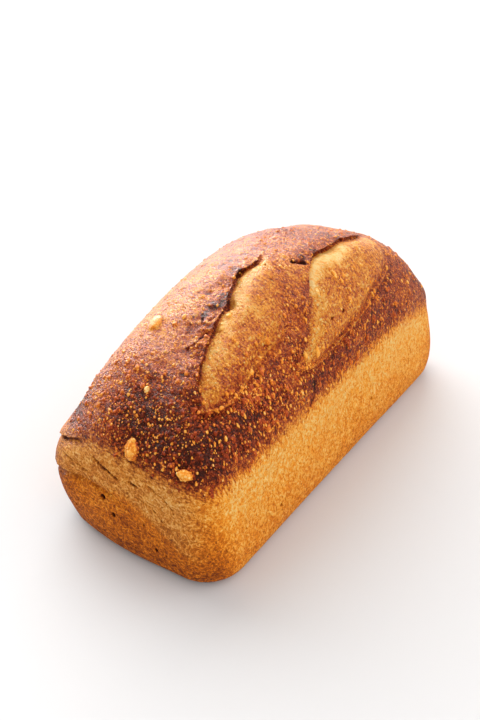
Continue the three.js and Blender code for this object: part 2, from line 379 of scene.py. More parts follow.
def box_of_cells():
    """A bottomless box of square cells: its corners, as whole numbers, and its faces."""
    across, along, rows = CELLS_ACROSS, CELLS_ALONG, CELLS_WALL + CELLS_FLANK
    sheets = []

    def sheet(origin, u, nu, v, nv):
        i, j = np.indices((nu, nv)).reshape(2, -1, 1)
        corner = np.array(origin) + i * np.array(u) + j * np.array(v)
        sheets.append(np.stack([corner, corner + u, corner + np.add(u, v), corner + v], axis=1))

    sheet((0, 0, 0), (1, 0, 0), across, (0, 0, 1), rows)
    sheet((across, 0, 0), (0, 1, 0), along, (0, 0, 1), rows)
    sheet((across, along, 0), (-1, 0, 0), across, (0, 0, 1), rows)
    sheet((0, along, 0), (0, -1, 0), along, (0, 0, 1), rows)
    sheet((0, 0, rows), (1, 0, 0), across, (0, 1, 0), along)
    corners = np.concatenate(sheets)
    cells, index = np.unique(corners.reshape(-1, 3), axis=0, return_inverse=True)
    quads = index.reshape(-1, 4)
    return cells, np.concatenate([quads[:, [0, 1, 2]], quads[:, [0, 2, 3]]])


def base_mesh():
    cells, tris = box_of_cells()
    unit = 2 * cells[:, :2] / (CELLS_ACROSS, CELLS_ALONG) - 1
    row = cells[:, 2]
    flank = (row - CELLS_WALL) / CELLS_FLANK * FLANK_SHARE * (LOAF_HEIGHT - RIM_HEIGHT)
    z = np.where(row < CELLS_WALL, RIM_HEIGHT * row / CELLS_WALL, RIM_HEIGHT + flank)
    target = np.column_stack([unit[:, 0] * RIM_WIDTH / 2, unit[:, 1] * RIM_LENGTH / 2, z])
    return settle(target), tris


def wanted_edge(points):
    wanted = np.full(len(points), EDGE_COARSE)

    def refine(line, kind):
        widest, _ = FINE_ZONES[kind][-1]
        distance, _ = nearest_station(points, line, widest)
        for reach, edge in FINE_ZONES[kind]:
            wanted[distance < reach] = np.minimum(wanted[distance < reach], edge)

    for slash in SLASHES:
        refine(slash["line"], "slash")
        refine(slash["lip_line"], "lip")
    for fold in FOLDS:
        refine(fold["line"], "fold")
    for line, _, _ in crack_lines:
        refine(line, "crack")
    spots = [(place, PIT_ZONE * radius, PIT_EDGE_SHARE * radius) for place, radius, _ in pits]
    spots += [(place, BLISTER_ZONE * max(size), BLISTER_EDGE) for place, *size, _, _ in blisters]
    for place, reach, edge in spots:
        close = np.linalg.norm(points - place, axis=1) < reach
        wanted[close] = np.minimum(wanted[close], edge)
    return wanted


def split_long_edges(points, tris):
    """Halves every edge that is too long, and lays the new points on the form."""
    for _ in range(SPLIT_PASSES):
        sides = np.sort(np.stack([tris, np.roll(tris, -1, axis=1)], axis=2), axis=2)
        keys = sides[..., 0] * len(points) + sides[..., 1]
        unique, inverse = np.unique(keys, return_inverse=True)
        inverse = inverse.reshape(-1, 3)
        a, b = unique // len(points), unique % len(points)
        middle = (points[a] + points[b]) / 2
        long = np.linalg.norm(points[a] - points[b], axis=1) > wanted_edge(middle)
        made = np.full(len(unique), -1)
        made[long] = len(points) + np.arange(long.sum())
        points = np.vstack([points, settle(middle[long])])
        tris = split_faces(tris, made[inverse])
    return points, tris


# The triangles that a face becomes, by how many of its sides are halved, out of its corners (0 to 2)
# and its sides' new points (3 to 5).
SPLITS = {
    0: [[0, 1, 2]],
    1: [[0, 3, 2], [3, 1, 2]],
    2: [[3, 1, 4], [0, 3, 4], [0, 4, 2]],
    3: [[0, 3, 5], [3, 1, 4], [5, 4, 2], [3, 4, 5]],
}


def split_faces(tris, made):
    """Faces again, where made has the new point on each side of each face, or -1."""
    count = (made >= 0).sum(axis=1)
    # Turned so that the one halved side comes first, or the one whole side last.
    turn = np.where(count == 2, (made < 0).argmax(axis=1) + 1, (made >= 0).argmax(axis=1))
    order = (turn[:, None] + np.arange(3)) % 3
    turned = [np.take_along_axis(table, order, axis=1) for table in (tris, made)]
    known = np.concatenate(turned, axis=1)
    pieces = [known[count == halved][:, way] for halved, ways in SPLITS.items() for way in ways]
    return np.concatenate(pieces)


# -------- relief

# A seam's edge wanders in long and short waves.
WOBBLE_LENGTH, WOBBLE_SWAY = 8.0, 0.9
RAGGED_LENGTH, RAGGED_SWAY = 3.1, 0.6
EDGE_FADE = 9.0
SEAM_LEVEL_REACH = 22.0
LEAN_REACH = 2.6
# How far a seam gapes where its gapes say nothing, what its waves change, and the bounds.
PLAIN_GAPE, WOBBLE_GAPE, RAGGED_GAPE = 0.30, 0.15, 0.55
LEAST_GAPE, MOST_GAPE = 0.05, 2.0
LEAST_OPENING = 0.6

# How far from their lines slashes, folds and creases change the crust.
SLASH_REACH, FOLD_REACH, CREASE_REACH = 34.0, 24.0, 30.0
LIP_REACH = 40.0
FAR = 99.0
LIP_HEIGHT, LIP_WIDTH = 1.0, 0.9
LIP_HOLLOW, HOLLOW_AT, HOLLOW_WIDTH = 0.7, 2.6, 2.0
CREASE_HEIGHT = 0.45
END_WALL_FROM = 100.0


def lumps(p):
    waves = sum(np.sin(2 * np.pi * (p @ np.array(way)) / LUMP_LENGTH + phase)
                for way, phase in LUMP_WAVES)
    out = LUMP_HEIGHT / 2 * waves * np.clip(p[:, 2] / RIM_HEIGHT, 0, 1)
    for place, reach, height in SWELLS:
        out += height * around(p, place, reach)
    return out


def gape_along(seam, run, wobble, ragged):
    total = seam["line"]["run"][-1]
    gape = PLAIN_GAPE + WOBBLE_GAPE * wobble
    for at, width, more in seam.get("gapes", [(total / 2, total, 0.5)]):
        gape = gape + more * hill(run - at, width)
    return np.clip(gape * (1 + RAGGED_GAPE * ragged), LEAST_GAPE, MOST_GAPE)


def open_seam(move, points, seam, reach):
    """Moves the points near a seam: its ear lifts and leans over an opening cut in beside it.

    Returns which points are near and, for each, its place across and along the seam, how fully
    the seam acts there, how far it gapes, and how much painted shade it gets down in the opening.
    """
    near, i, side, run, level = seam_frame(points, seam["line"], reach)
    total = seam["line"]["run"][-1]
    along_it = np.column_stack([run, 0 * run, 0 * run])
    wobble = noise(along_it, WOBBLE_LENGTH, seed=seam["seed"])
    ragged = noise(along_it, RAGGED_LENGTH, seed=seam["seed"] + 1)
    side = side + (WOBBLE_SWAY * wobble + RAGGED_SWAY * ragged) * smooth(9, 2, np.abs(side))
    fade = smooth(-1, EDGE_FADE, run) * smooth(total + 1, total - EDGE_FADE, run)
    fade = fade * hill(level, SEAM_LEVEL_REACH)
    gape = gape_along(seam, run, wobble, ragged)
    ear = seam["height"] * (0.8 + 0.20 * ragged + 0.25 * wobble) * fade
    lean = seam["lean"] * gape * fade
    depth = seam["depth"] * gape * fade
    width = LEAST_OPENING + seam["gape"] * gape
    under = np.clip(side / width, 0, 1)
    climb = np.clip((side - width) / (1.5 + 1.6 * width), 0, 1)
    # Across the seam: up to the ear's edge, back in beneath it, down to the bottom and out again.
    on_ear = side < 0
    in_gap = (side >= 0) & (side < width)
    shift = np.where(on_ear, lean * hill(side, LEAN_REACH), 0)
    lift = np.where(on_ear, ear * hill(side, seam["reach"]), 0)
    back = lean * (1 - under) ** 2 - 1.1 * lean * np.sin(np.pi * under) ** 2
    shift = np.where(in_gap, back, shift)
    lift = np.where(in_gap, ear * (1 - under) ** 1.5 - depth * smooth(0, 1, under), lift)
    lift = np.where(side >= width, -depth * (1 - smooth(0, 1, climb)), lift)
    move[near] += seam["line"]["across"][i] * shift[:, None] + seam["line"]["out"][i] * lift[:, None]
    # Painted shade over the opening under the ear: full across the gap, fading at its edges and ends.
    shade = smooth(-0.3, 0.2, side) * smooth(width + 0.7, width - 0.4, side) * fade
    return near, side, run, fade, gape, shade


def crumb_strip(slash, side, run, fade, gape, shade):
    first, last = slash["cream"]
    spread = (3.0 + 2.0 * gape) * (1 - 0.45 * smooth(55, 90, run))
    strip = slash["pale"] * hill(side - 1.4 * spread, spread) * fade * (1 - shade)
    return strip * smooth(first, first + 8, run) * smooth(last + 8, last, run)


def cut_slash(slash, points, above, move, relief, marks):
    """Opens a slash, raises its bloomed crumb and its lip, and marks where they are."""
    near, side, run, fade, gape, shade = open_seam(move, points, slash, SLASH_REACH)
    to_ear, _ = nearest_station(points, slash["line"], LIP_REACH)
    to_lip, lip_at = nearest_station(points, slash["lip_line"], LIP_REACH)
    to_ear, to_lip = np.minimum(to_ear, LIP_REACH), np.minimum(to_lip, LIP_REACH)
    inside = inside_loop(points, slash["loop"]) & (above > 0)
    relief += inside * slash["bloom"] * smooth(0, 13, to_ear) * smooth(0, 9, to_lip)

    first, last = slash["lip_shows"]
    lip_run = slash["lip_line"]["run"][lip_at]
    shows = smooth(first - 6, first + 4, lip_run) * smooth(last + 12, last - 8, lip_run)
    relief += LIP_HEIGHT * shows * hill(to_lip, LIP_WIDTH)
    relief -= LIP_HOLLOW * shows * ~inside * hill(to_lip - HOLLOW_AT, HOLLOW_WIDTH)

    crumb = np.zeros(len(points))
    crumb[near] = crumb_strip(slash, side, run, fade, gape, shade)
    to_line = np.full(len(points), FAR)
    to_line[near] = side
    closer_lip = to_lip < marks["lip_near"]
    closer_ear = np.abs(to_line) < np.abs(marks["ear_line"])
    depth = np.where(inside, 1, -1) * np.minimum(to_lip, to_ear)
    marks["bloom"] = np.maximum(marks["bloom"], depth)
    marks["fresh"] = np.maximum(marks["fresh"], crumb * inside)
    marks["opening"][near] = np.maximum(marks["opening"][near], shade)
    marks["ear_line"] = np.where(closer_ear, to_line, marks["ear_line"])
    marks["lip_near"] = np.where(closer_lip, to_lip, marks["lip_near"])
    marks["lip_strength"] = np.where(closer_lip, shows, marks["lip_strength"])


def creases_by_ear(points):
    """Wrinkles beside the first ear: up to 1 on a ridge, below 0 between."""
    near, _, side, run, _ = seam_frame(points, SLASHES[0]["line"], CREASE_REACH)
    drawn_out = np.column_stack([run, 0.33 * side, 0 * run])
    wavy = noise(drawn_out, 3.8, seed=5) + 0.5 * noise(points[near], 2.6, seed=6)
    creases = np.zeros(len(points))
    creases[near] = (1 - 2.4 * np.abs(wavy)) * smooth(-28, -6, side) * smooth(1, -2, side)
    creases[near] *= smooth(0, 10, run) * smooth(100, 60, run)
    return creases


def skin_relief(points, above, creases, marks):
    """The dome's uneven skin, the rim's stretched streaks and the walls' pores."""
    on_top = smooth(-6, 14, above)
    at_rim = hill(above - 2, 12)
    off_lip = 1 - np.clip(marks["lip_strength"] * np.exp(-marks["lip_near"] / 2), 0, 1)
    skin = 0.42 * rough(points, 9, seed=21) + 0.26 * rough(points, 3.4, seed=31)
    ridged = smooth(-55, -85, points[:, 1])
    skin += 0.9 * ridged * rough(points, (20, 5, 7), seed=171, octaves=2)
    streaks = rough(points, (9, 2.4, 8), seed=61)
    porous = rough(points, (3.4, 3.0, 2.2), seed=71) * smooth(0, 8, points[:, 2])
    relief = on_top * (skin * off_lip + CREASE_HEIGHT * creases)
    return relief + 0.16 * at_rim * streaks + 0.10 * (1 - on_top) * porous


def press_spots(points, relief):
    """Cracks and pits go in, blisters stand out."""
    for line, width, depth in crack_lines:
        distance, _ = nearest_station(points, line, 6 * width)
        uneven = 1 + 0.6 * noise(points, 2.4, seed=55)
        relief -= depth * uneven * hill(distance, width * uneven)
    for place, radius, depth in pits:
        relief -= depth * pit_bottom(points, place, radius)
    for place, width, height, stands, _ in blisters:
        reach = blister_reach(points, place, width, height)
        relief += stands * np.sqrt(np.clip(1 - reach, 0, 1))
        relief -= 0.35 * hill(reach - 1.1, 0.25)


def pit_bottom(points, place, radius):
    return np.exp(-((np.linalg.norm(points - place, axis=1) / radius) ** 4))


def blister_reach(points, place, width, height):
    """Distance from a blister's middle, squared, in its own size."""
    off = points - place
    on_end_wall = abs(place[1]) > END_WALL_FROM
    slope = np.hypot(off[:, 2], off[:, 1] if on_end_wall else off[:, 0])
    level = off[:, 0] if on_end_wall else off[:, 1]
    uneven = 1 + 0.3 * noise(points, 3.0, seed=77)
    return ((level / width) ** 2 + (slope / height) ** 2) * uneven


points, tris = split_long_edges(*base_mesh())
normals = vertex_normals(points, tris)
above = points[:, 2] - RIM_HEIGHT
relief = lumps(points)
move = np.zeros_like(points)

# What the slashes leave at each point: how deep in bloomed crumb it is, how pale, how much painted
# shade it gets down an opening, and how near an ear and a lip.
unmarked = dict(bloom=-FAR, fresh=0.0, opening=0.0, ear_line=FAR, lip_near=FAR, lip_strength=0.0)
marks = {name: np.full(len(points), value) for name, value in unmarked.items()}
for slash in SLASHES:
    cut_slash(slash, points, above, move, relief, marks)
# Folds open like slashes, and keep the painted shade under each fold's bulging edge.
fold_shade = np.zeros(len(points))
for fold in FOLDS:
    near, *_, shade = open_seam(move, points, fold, FOLD_REACH)
    fold_shade[near] = np.maximum(fold_shade[near], shade)
creases = creases_by_ear(points)
relief += skin_relief(points, above, creases, marks)
press_spots(points, relief)
shape = points + normals * relief[:, None] + move
on_floor = points[:, 2] < 1e-6
shape[on_floor, 2] = 0.0
shape[:, 2] = np.maximum(shape[:, 2], 0.0)


# -------- how browned the bread is

# Browning runs from 0, unbaked, to about 1, burnt. These are the places' own levels, except the opening's,
# which is painted shade down a slash's opening, under its ear.
DOME_BROWN, WALL_BROWN, BLOOM_BROWN = 0.62, 0.28, 0.34
CRUMB_BROWN, LIP_BROWN, OPENING_PAINTED_SHADE, BLISTER_BROWN = 0.08, 0.45, 0.88, 0.48
# How much painted shade darkens the unslashed side and the +Y end, the sides the window lamp lights most,
# and cracks, pits, folds and creases.
BACK_WALL_PAINTED_SHADE, BACK_DOME_PAINTED_SHADE = 0.16, 0.18
CRACK_SHADE, PIT_SHADE, FOLD_SHADE, CREASE_SHADE = 0.46, 0.50, 0.45, 0.22
BURNT_DARK = 0.36

# The dark dome's lower edge is higher in the middle of the -Y end, and lower at its corners and
# towards the slashed side's +Y corner.
EDGE_HEIGHT = 62.0
END_RISE, END_RISE_WIDTH, END_DIP = 6.0, 34.0, 2.0
FAR_DROP = 11.0

# On that end the dough tore from these heights up, as (x, z).
TORN_FROM = [(-52, 39), (-21, 43.5), (2, 45), (14, 38), (28, 30), (48, 20)]

# Where the dome is browner (below 0: paler): place, reach, amount.
BROWNER = [
    ((5, -102, 82), 32, 0.34), ((36, -98, 76), 28, 0.32), ((46, -60, 84), 18, 0.22),
    ((-45, -98, 72), 18, 0.20), ((54, 0, 80), 28, 0.22), ((52, 60, 80), 30, 0.14),
    ((-10, 45, 116), 46, 0.20), ((20, -12, 124), 9, -0.10), ((26, 1, 121), 8, -0.12),
    ((42, 20, 106), 16, 0.14), ((-36, -50, 98), 26, -0.05), ((34, -50, 108), 14, -0.06),
    ((30, 6, 119), 9, -0.06), ((44, -58, 89), 6, -0.12), ((8, -40, 119), 5, 0.12),
    ((12, -58, 113), 4, 0.10), ((20, -10, 124), 5, 0.02), ((3, -22, 124), 5, 0.14),
]
# Spots along the ears that are burnt: place and reach.
BURNT = [
    ((4.8, -18.7, 124.7), 2.8), ((10, -35, 120.5), 2.4), ((8.3, -43.4, 118), 3.0),
    ((7.6, -48.4, 116), 2.4), ((22.6, 24, 121.5), 3.0), ((24, 12, 122), 2.4),
]


def above_dome_edge(points, at_end):
    """Height above the dark dome's uneven lower edge, below 0 on the walls."""
    x, y, z = points.T
    edge = EDGE_HEIGHT + at_end * (END_RISE * hill(x, END_RISE_WIDTH) - END_DIP)
    edge -= FAR_DROP * smooth(45, 105, y) * smooth(0, 40, x)
    return z - edge + 2.5 * rough(points, 24, seed=91)


def wall_browning(points, at_end, painted_shade_side, past_edge, over_tear):
    """Browner down the wall, at its corners and on the -Y end."""
    x, y, z = points.T
    down = np.clip(-past_edge / (EDGE_HEIGHT - 6), 0, 1)
    brown = WALL_BROWN + 0.27 * down**1.2 + 0.05 * rough(points, 18, seed=121)
    # Painted shade on the unslashed side and the +Y end, which the window lamp lights most.
    brown += BACK_WALL_PAINTED_SHADE * painted_shade_side
    brown += 0.08 * smooth(40, 54, np.abs(x)) * smooth(96, 104, np.abs(y))
    brown += 0.20 * smooth(5, 0.5, z)
    end_more = 0.18 + 0.08 * smooth(3, -3, over_tear) + 0.10 * rough(points, (11, 4, 5), seed=151)
    return brown + at_end * end_more


def bloom_browning(points, ear_line):
    """Browner away from the ears and towards the -Y end."""
    brown = BLOOM_BROWN + 0.21 * smooth(3, 16, np.abs(ear_line)) + 0.16 * rough(points, 5, seed=131)
    return brown + 0.10 * smooth(-30, -75, points[:, 1])


def dome_browning(points, painted_shade_side, marks):
    x, y, z = points.T
    brown = DOME_BROWN + 0.10 * rough(points, 24, seed=101) + 0.12 * rough(points, 7, seed=111)
    brown -= 0.08 * smooth(20, -40, x) * smooth(-110, -50, y)
    brown += 0.10 * smooth(30, 50, x)
    for place, reach, amount in BROWNER:
        brown += amount * around(points, place, reach)
    # Painted shade on the lower dome of the unslashed side and the +Y end, which the window lamp lights
    # most.
    brown += BACK_DOME_PAINTED_SHADE * painted_shade_side * smooth(106, 84, z)
    bloomed = smooth(-1, 7, marks["bloom"] + 1.5 * rough(points, 4, seed=141))
    brown = toward(brown, bloom_browning(points, marks["ear_line"]), bloomed)
    crumb = CRUMB_BROWN + 0.40 * rough(points, 2.6, seed=161)
    brown = toward(brown, crumb, np.clip(marks["fresh"], 0, 1))
    brown = toward(brown, LIP_BROWN, 0.7 * marks["lip_strength"] * hill(marks["lip_near"], 0.8))
    # Painted shade down each slash's opening, under its ear.
    brown = toward(brown, OPENING_PAINTED_SHADE, marks["opening"])
    flecked = np.clip(1 + 1.8 * rough(points, 2.2, seed=201), 0, 2)
    for place, reach in BURNT:
        brown += BURNT_DARK * around(points, place, reach) * flecked
    return brown


def torn_share(points, at_end, past_edge, over_tear):
    """0 to 1 where the dough of the -Y end tore and stayed matt."""
    torn = at_end * smooth(-3, 3, over_tear) * smooth(8, -2, past_edge)
    torn = torn * smooth(54, 34, points[:, 0])
    return np.clip(torn * (1 + 0.6 * rough(points, (14, 5, 5), seed=181)), 0, 1)


def brown_blisters(points, dome_brown, past_edge, smoother):
    """Blisters are paler and smoother, and look like the dome even below its edge."""
    for place, width, height, _, pale in blisters:
        top = np.clip(1.15 - blister_reach(points, place, width, height), 0, 1)
        goal = BLISTER_BROWN - 0.20 * pale
        dome_brown += (goal - dome_brown) * smooth(0, 0.5, top) * pale
        past_edge += 20 * smooth(0, 0.3, top)
        np.maximum(smoother, smooth(0, 0.4, top), out=smoother)


def shaded_hollows(points, fold_shade, creases):
    """Painted shade in folds, between creases, and in cracks and pits."""
    painted_hollow_shade = FOLD_SHADE * fold_shade + CREASE_SHADE * np.clip(-creases, 0, 1)
    for line, width, depth in crack_lines:
        distance, _ = nearest_station(points, line, 6 * width)
        painted_hollow_shade += CRACK_SHADE * depth**0.6 * hill(distance, 1.2 * width)
    for place, radius, depth in pits:
        painted_hollow_shade += PIT_SHADE * depth * pit_bottom(points, place, radius)
    return painted_hollow_shade


at_end = smooth(-98, -111, points[:, 1])
# The unslashed side and the +Y end, which get painted shade because the window lamp lights them most.
painted_shade_side = np.maximum(smooth(-30, -54, points[:, 0]), smooth(85, 112, points[:, 1]))
torn_from = np.interp(points[:, 0], *zip(*TORN_FROM)) + 2.5 * rough(points, 6, seed=191)
over_tear = points[:, 2] - torn_from
past_edge = above_dome_edge(points, at_end)
wall_brown = wall_browning(points, at_end, painted_shade_side, past_edge, over_tear)
dusty = torn_share(points, at_end, past_edge, over_tear)
dome_brown = dome_browning(points, painted_shade_side, marks)
smoother = np.clip(0.25 * marks["fresh"], 0, 1)
brown_blisters(points, dome_brown, past_edge, smoother)
# Painted shade in folds, creases, cracks and pits, added to the browning of dome and wall.
painted_hollow_shade = shaded_hollows(points, fold_shade, creases)


# -------- into Blender

def fitted(shape, low, high):
    """A shape moved to stand in the middle of a box, and shrunk where it is larger."""
    own_low, own_high = shape.min(0), shape.max(0)
    scale = np.minimum((high - low) / (own_high - own_low), 1)
    foot, own_foot = (low + high) / 2, (own_low + own_high) / 2
    foot[2], own_foot[2] = low[2], own_low[2]
    return (shape - own_foot) * scale + foot


def put_in_scene(name, data):
    made = bpy.data.objects.new(name, data)
    bpy.context.scene.collection.objects.link(made)
    return made


def mesh_object(name, points_mm, faces, fields):
    """A smooth mesh from points in millimetres, with named values on its vertices."""
    mesh = bpy.data.meshes.new(name)
    mesh.from_pydata(points_mm * MM, [], faces)
    for field, values in fields.items():
        values = np.full(len(points_mm), values, np.float32)
        mesh.attributes.new(field, "FLOAT", "POINT").data.foreach_set("value", values)
    mesh.shade_smooth()
    mesh.validate()
    return put_in_scene(name, mesh)


def base_fan(points, tris):
    """Triangles from the open base's edge to its middle, the next point."""
    sides = np.concatenate([tris[:, [0, 1]], tris[:, [1, 2]], tris[:, [2, 0]]])
    keys = set(map(tuple, sides.tolist()))
    rim = [side for side in keys if side[::-1] not in keys]
    return [(b, a, len(points)) for a, b in rim]


cad_low, cad_high = (np.array(corner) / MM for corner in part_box("loaf"))
shape = fitted(shape, cad_low, cad_high)
bottom = np.array([[0.0, 0.0, cad_low[2]]])
faces = np.concatenate([tris, base_fan(points, tris)]).tolist()
fields = dict(
    dome=(dome_brown + painted_hollow_shade, 0.6), wall=(wall_brown + painted_hollow_shade, 0.5), past_edge=(past_edge, -60.0),
    smoother=(smoother, 0.0), end=(at_end, 0.0), dusty=(dusty, 0.0),
)
fields = {name: np.append(crust, base) for name, (crust, base) in fields.items()}
loaf = mesh_object("crust", np.vstack([shape, bottom]), faces, fields)


# -------- the material

def srgb(*colour):
    """A colour as shaders want it, from 0 to 255 values."""
    value = np.array(colour) / 255
    linear = np.where(value <= 0.04045, value / 12.92, ((value + 0.055) / 1.055) ** 2.4)
    return (*linear, 1.0)


class Nodes:
    """Short ways to add and join a material's nodes."""

    def __init__(self, name):
        self.material = bpy.data.materials.new(name)
        self.material.use_nodes = True
        self.tree = self.material.node_tree
        self.shader = self.tree.nodes["Principled BSDF"]

    def add(self, kind, inputs=(), **settings):
        node = self.tree.nodes.new("ShaderNode" + kind)
        for setting, value in settings.items():
            setattr(node, setting, value)
        return self.give(node, dict(inputs))

    def give(self, node, inputs):
        """Sets a node's inputs, or joins other nodes' outputs to them."""
        for socket, value in inputs.items():
            if isinstance(value, bpy.types.NodeSocket):
                self.tree.links.new(value, node.inputs[socket])
            else:
                node.inputs[socket].default_value = value
        return node

    def math(self, operation, a, b=0.0, clamp=False):
        return self.add("Math", {0: a, 1: b}, operation=operation, use_clamp=clamp).outputs[0]

    def times(self, a, b):
        return self.math("MULTIPLY", a, b)

    def total(self, start, *weighted):
        """start plus each of some values times its weight."""
        for value, weight in weighted:
            start = self.math("ADD", start, self.times(value, weight))
        return start

    def weighed(self, start, patterns, weights):
        """start plus the patterns that have weights."""
        return self.total(start, *((patterns[name], weight) for name, weight in weights.items()))

    def field(self, name):
        return self.add("Attribute", attribute_name=name).outputs["Fac"]

    def stretched(self, scale):
        """Places on the object in millimetres, scaled by axis."""
        place = self.add("TexCoord").outputs["Object"]
        scale = tuple(s / MM for s in scale)
        return self.add("Mapping", {"Vector": place, "Scale": scale}).outputs["Vector"]

    def noise(self, place, size, detail=3.0, rough=0.55, twist=0.0):
        """Noise from about -1 to 1 with features of size millimetres."""
        node = self.add("TexNoise", {"Vector": place, "Scale": 1 / size, "Detail": detail,
                                     "Roughness": rough, "Distortion": twist})
        return self.times(self.math("SUBTRACT", node.outputs["Fac"], 0.5), 3.0)

    def net(self, place, size, twist):
        """0 to 1, highest on a net of fine lines about size millimetres apart."""
        off_line = self.math("ABSOLUTE", self.noise(place, size, detail=2.0, rough=0.5, twist=twist))
        return self.between(off_line, 0.26, 0.0)

    def beads(self, place, size, crowd):
        """0 to 1, highest on round beads of different sizes, about size apart."""
        cells = self.add("TexVoronoi", {"Vector": place, "Scale": 1 / size})
        luck = self.add("SeparateColor", {"Color": cells.outputs["Color"]}).outputs[0]
        reach = self.math("ADD", self.times(luck, 0.47), crowd)
        return self.between(self.math("SUBTRACT", reach, cells.outputs["Distance"]), 0.0, 0.16)

    def between(self, value, low, high):
        """0 to 1 as value goes from low to high, smoothly."""
        return self.add("MapRange", {"Value": value, "From Min": low, "From Max": high},
                        interpolation_type="SMOOTHSTEP").outputs["Result"]

    def ramp(self, value, stops):
        node = self.add("ValToRGB", {"Fac": value})
        elements = node.color_ramp.elements
        while len(elements) < len(stops):
            elements.new(0.5)
        for element, (position, *colour) in zip(elements, stops):
            element.position = position
            element.color = srgb(*colour)
        return node.outputs["Color"]

    def blend(self, share, a, b):
        """a turning into b as share goes from 0 to 1."""
        return self.add("Mix", {0: share, 2: a, 3: b}).outputs[0]

    def mix(self, share, a, b):
        """The same for colours."""
        return self.add("Mix", {0: share, 6: a, 7: b}, data_type="RGBA").outputs[2]


# Bread from unbaked to burnt, for browning from 0 to MOST_BROWNED: position and colour.
BREAD = [
    (0.00, 255, 212, 138), (0.14, 255, 196, 106), (0.28, 252, 172, 62), (0.40, 236, 138, 38),
    (0.52, 205, 97, 37), (0.64, 161, 60, 22), (0.76, 111, 36, 10), (0.88, 64, 20, 5),
    (1.00, 32, 12, 4),
]
# The same where the tin held the dough, more golden.
TIN_SIDE = [
    (0.00, 255, 216, 140), (0.16, 255, 190, 88), (0.28, 252, 162, 46), (0.40, 234, 129, 22),
    (0.52, 203, 104, 15), (0.64, 160, 76, 11), (0.76, 112, 46, 8), (0.88, 66, 24, 6),
    (1.00, 32, 14, 6),
]
# The same where dough tore and stayed matt.
DUSTY = [
    (0.00, 255, 230, 180), (0.20, 238, 190, 122), (0.32, 218, 160, 88), (0.44, 184, 122, 56),
    (0.60, 130, 76, 28), (0.80, 70, 36, 14),
]
MOST_BROWNED, MOST_SHOWN = 1.25, 1.1

# How much browner (below 0: paler) each pattern makes the crust, and its height in millimetres.
TONES = dict(grain=-0.36, streak=0.18, speck=0.10)
RAISED_TONES = dict(bead=-0.26, small_bead=-0.24, wrinkle=-0.22)
HEIGHTS = dict(grain=0.70, mottle=0.80, streak=0.20, pores=0.30, bead=0.60, small_bead=0.60, wrinkle=0.60)


def crust_patterns(n):
    """Noises for the crust's colour and height, and where its dome is, by name."""
    even = n.stretched((1, 1, 1))
    mottle = n.noise(even, 3.4, detail=4.0, rough=0.65)
    downward = n.noise(n.stretched((0.35, 1.0, 0.4)), 1.2, rough=0.6, twist=0.4)
    crosswise = n.noise(n.stretched((0.3, 1.0, 1.1)), 1.5, rough=0.6, twist=0.4)
    streak = n.blend(n.field("end"), downward, crosswise)
    speck = n.noise(n.stretched((0.7, 1.2, 0.7)), 1.25, detail=2.0, rough=0.5)

    # The dark dome gives way to the pale walls streak by streak.
    ragged_edge = n.total(n.field("past_edge"), (streak, 6.0), (mottle, 4.0))
    crisp = n.total(1.0, (n.field("end"), 0.1))
    domed = n.between(n.times(ragged_edge, crisp), -7.0, 7.0)
    off_dome = n.math("SUBTRACT", 1.0, domed)

    # Paler beads on the dome, and pale wrinkles where the tin was.
    crowd = n.times(n.noise(even, 16.0, detail=2.0), 0.10)
    wrinkle_net = n.net(n.stretched((0.8, 1.0, 0.7)), 2.9, twist=0.8)
    return dict(
        mottle=mottle, streak=streak, domed=domed, off_dome=off_dome,
        grain=n.noise(even, 1.25, rough=0.75),
        pores=n.noise(even, 1.1, detail=4.0, rough=0.7, twist=0.8),
        speck=n.between(speck, 0.12, 0.55),
        bead=n.times(n.beads(even, 1.7, crowd), domed),
        small_bead=n.times(n.beads(even, 1.2, 0.0), domed),
        wrinkle=n.times(wrinkle_net, off_dome),
    )


def crust_colour(n, patterns):
    domed = patterns["domed"]
    blotchy = n.total(-0.12, (domed, -0.04))
    change = n.weighed(n.times(patterns["mottle"], blotchy), patterns, TONES)
    contrast = n.total(0.95, (domed, 0.25), (n.field("smoother"), -0.8))
    level = n.total(n.blend(domed, n.field("wall"), n.field("dome")), (change, contrast))
    level = n.weighed(level, patterns, RAISED_TONES)
    level = n.math("MINIMUM", level, MOST_SHOWN)
    level = n.math("DIVIDE", level, MOST_BROWNED, clamp=True)
    colour = n.mix(domed, n.ramp(level, TIN_SIDE), n.ramp(level, BREAD))
    return n.mix(n.times(n.field("dusty"), 0.42), colour, n.ramp(level, DUSTY))


def crust_normal(n, patterns):
    """The finest relief, weaker on smooth crust and where the tin was."""
    height = n.weighed(0.0, patterns, HEIGHTS)
    strength = n.total(1.0, (n.field("smoother"), -0.7), (patterns["off_dome"], -0.20))
    bump = n.add("Bump", {"Height": height, "Strength": strength, "Distance": MM})
    return bump.outputs["Normal"]


def crust_material():
    n = Nodes("baked_crust")
    patterns = crust_patterns(n)
    n.give(n.shader, {
        "Base Color": crust_colour(n, patterns),
        "Roughness": n.total(0.68, (patterns["domed"], -0.24), (patterns["grain"], 0.08)),
        "Specular IOR Level": 0.12,
        "Normal": crust_normal(n, patterns),
    })
    return n.material


# -------- beads on the crust

BEADS = 5600
BEAD_SEED = 7
BEAD_SIDES = 7
# A bead's rings of vertices, as width and height, and its top, for a radius of 1.
BEAD_RINGS = [(1.0, -0.25), (0.82, 0.22), (0.45, 0.50)]
BEAD_TOP = 0.58
BEAD_RADIUS, RADIUS_SPREAD = 0.36, 0.55
SMALLEST_BEAD, LARGEST_BEAD = 0.2, 1.5
BEAD_UNEVENNESS = 0.18
# How much paler than the crust most beads and the bright share of them are, and the palest level.
PALER, BRIGHTER = (0.05, 0.28), (0.30, 0.50)
BRIGHT_SHARE = 0.34
PALEST_BEAD = 0.22
